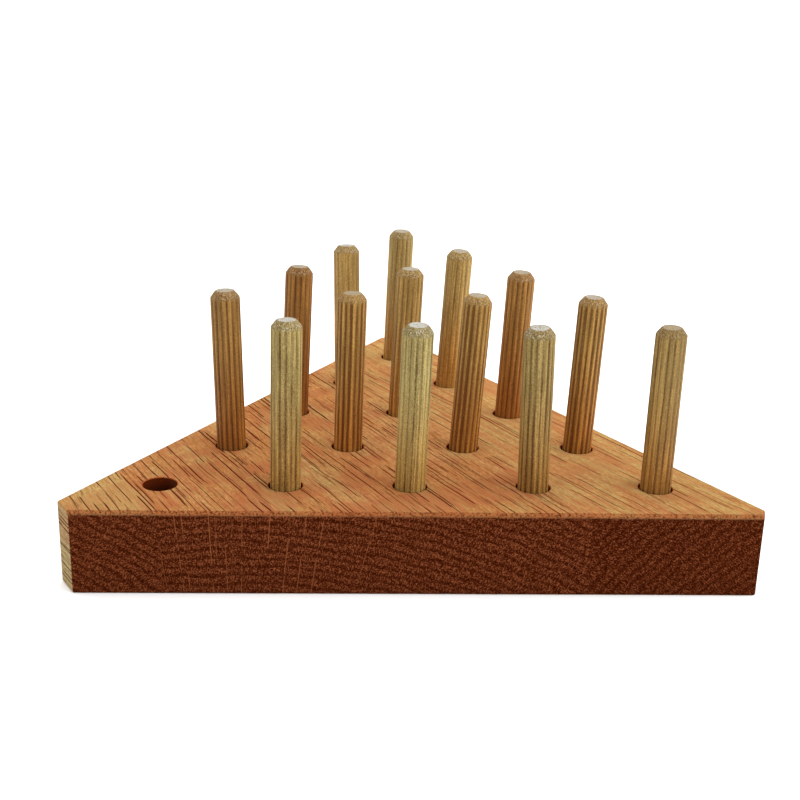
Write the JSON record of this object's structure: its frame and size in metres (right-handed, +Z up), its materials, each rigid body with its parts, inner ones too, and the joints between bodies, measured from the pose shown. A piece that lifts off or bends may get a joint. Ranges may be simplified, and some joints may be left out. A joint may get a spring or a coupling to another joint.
{
  "type": "peg solitaire board",
  "caption": "Triangular glued oak board with a triangular grid of blind holes and loose fluted wooden dowel pegs standing in them, a corner hole left empty; a game of jumping pegs.",
  "frame": {"origin": "on the surface the board rests on, under the middle of the box round the board's outline", "axes": "+X to the right along the straight front edge, +Y away from the front edge to the back corner, +Z up out of the board's top face"},
  "size_m": [0.1752, 0.1504, 0.0656],
  "materials": {
    "board_oak": "red oak, oiled satin, reddish brown with open pores; end grain at the front nearly chestnut",
    "peg_wood_tan": "tan hardwood dowel, pressed flutes, raw satin, rough pale ends",
    "peg_wood_pale": "pale yellow hardwood dowel, pressed flutes, raw satin, rough pale ends"
  },
  "bodies": {
    "board": {"left_stave": "board_oak", "middle_stave": "board_oak", "right_stave": "board_oak"},
    "peg_row1_2": {"peg_row1_2": "peg_wood_pale"},
    "peg_row1_3": {"peg_row1_3": "peg_wood_pale"},
    "peg_row1_4": {"peg_row1_4": "peg_wood_pale"},
    "peg_row1_5": {"peg_row1_5": "peg_wood_pale"},
    "peg_row2_1": {"peg_row2_1": "peg_wood_tan"},
    "peg_row2_2": {"peg_row2_2": "peg_wood_tan"},
    "peg_row2_3": {"peg_row2_3": "peg_wood_tan"},
    "peg_row2_4": {"peg_row2_4": "peg_wood_tan"},
    "peg_row3_1": {"peg_row3_1": "peg_wood_tan"},
    "peg_row3_2": {"peg_row3_2": "peg_wood_tan"},
    "peg_row3_3": {"peg_row3_3": "peg_wood_tan"},
    "peg_row4_1": {"peg_row4_1": "peg_wood_tan"},
    "peg_row4_2": {"peg_row4_2": "peg_wood_tan"},
    "peg_row5_1": {"peg_row5_1": "peg_wood_tan"}
  },
  "joints": [
    {"name": "lift_row1_2", "type": "slide", "parent": "board", "child": "peg_row1_2", "axis": [0.0087, 0.0262, 0.9996], "range_m": [0, 0.055]},
    {"name": "lift_row1_3", "type": "slide", "parent": "board", "child": "peg_row1_3", "axis": [0.0174, -0.0436, 0.9989], "range_m": [0, 0.055]},
    {"name": "lift_row1_4", "type": "slide", "parent": "board", "child": "peg_row1_4", "axis": [-0.0261, -0.061, 0.9978], "range_m": [0, 0.055]},
    {"name": "lift_row1_5", "type": "slide", "parent": "board", "child": "peg_row1_5", "axis": [0, -0.0262, 0.9997], "range_m": [0, 0.055]},
    {"name": "lift_row2_1", "type": "slide", "parent": "board", "child": "peg_row2_1", "axis": [-0.0262, 0.0262, 0.9993], "range_m": [0, 0.055]},
    {"name": "lift_row2_2", "type": "slide", "parent": "board", "child": "peg_row2_2", "axis": [0.0175, 0.0087, 0.9998], "range_m": [0, 0.055]},
    {"name": "lift_row2_3", "type": "slide", "parent": "board", "child": "peg_row2_3", "axis": [0.0523, 0, 0.9986], "range_m": [0, 0.055]},
    {"name": "lift_row2_4", "type": "slide", "parent": "board", "child": "peg_row2_4", "axis": [0.0349, -0.0087, 0.9994], "range_m": [0, 0.055]},
    {"name": "lift_row3_1", "type": "slide", "parent": "board", "child": "peg_row3_1", "axis": [0.0349, 0.0436, 0.9984], "range_m": [0, 0.055]},
    {"name": "lift_row3_2", "type": "slide", "parent": "board", "child": "peg_row3_2", "axis": [0.0349, 0.0262, 0.999], "range_m": [0, 0.055]},
    {"name": "lift_row3_3", "type": "slide", "parent": "board", "child": "peg_row3_3", "axis": [0.0349, -0.0174, 0.9992], "range_m": [0, 0.055]},
    {"name": "lift_row4_1", "type": "slide", "parent": "board", "child": "peg_row4_1", "axis": [-0.0174, 0.0697, 0.9974], "range_m": [0, 0.055]},
    {"name": "lift_row4_2", "type": "slide", "parent": "board", "child": "peg_row4_2", "axis": [0.0436, -0.0436, 0.9981], "range_m": [0, 0.055]},
    {"name": "lift_row5_1", "type": "slide", "parent": "board", "child": "peg_row5_1", "axis": [0.0262, -0.0349, 0.999], "range_m": [0, 0.055]}
  ]
}
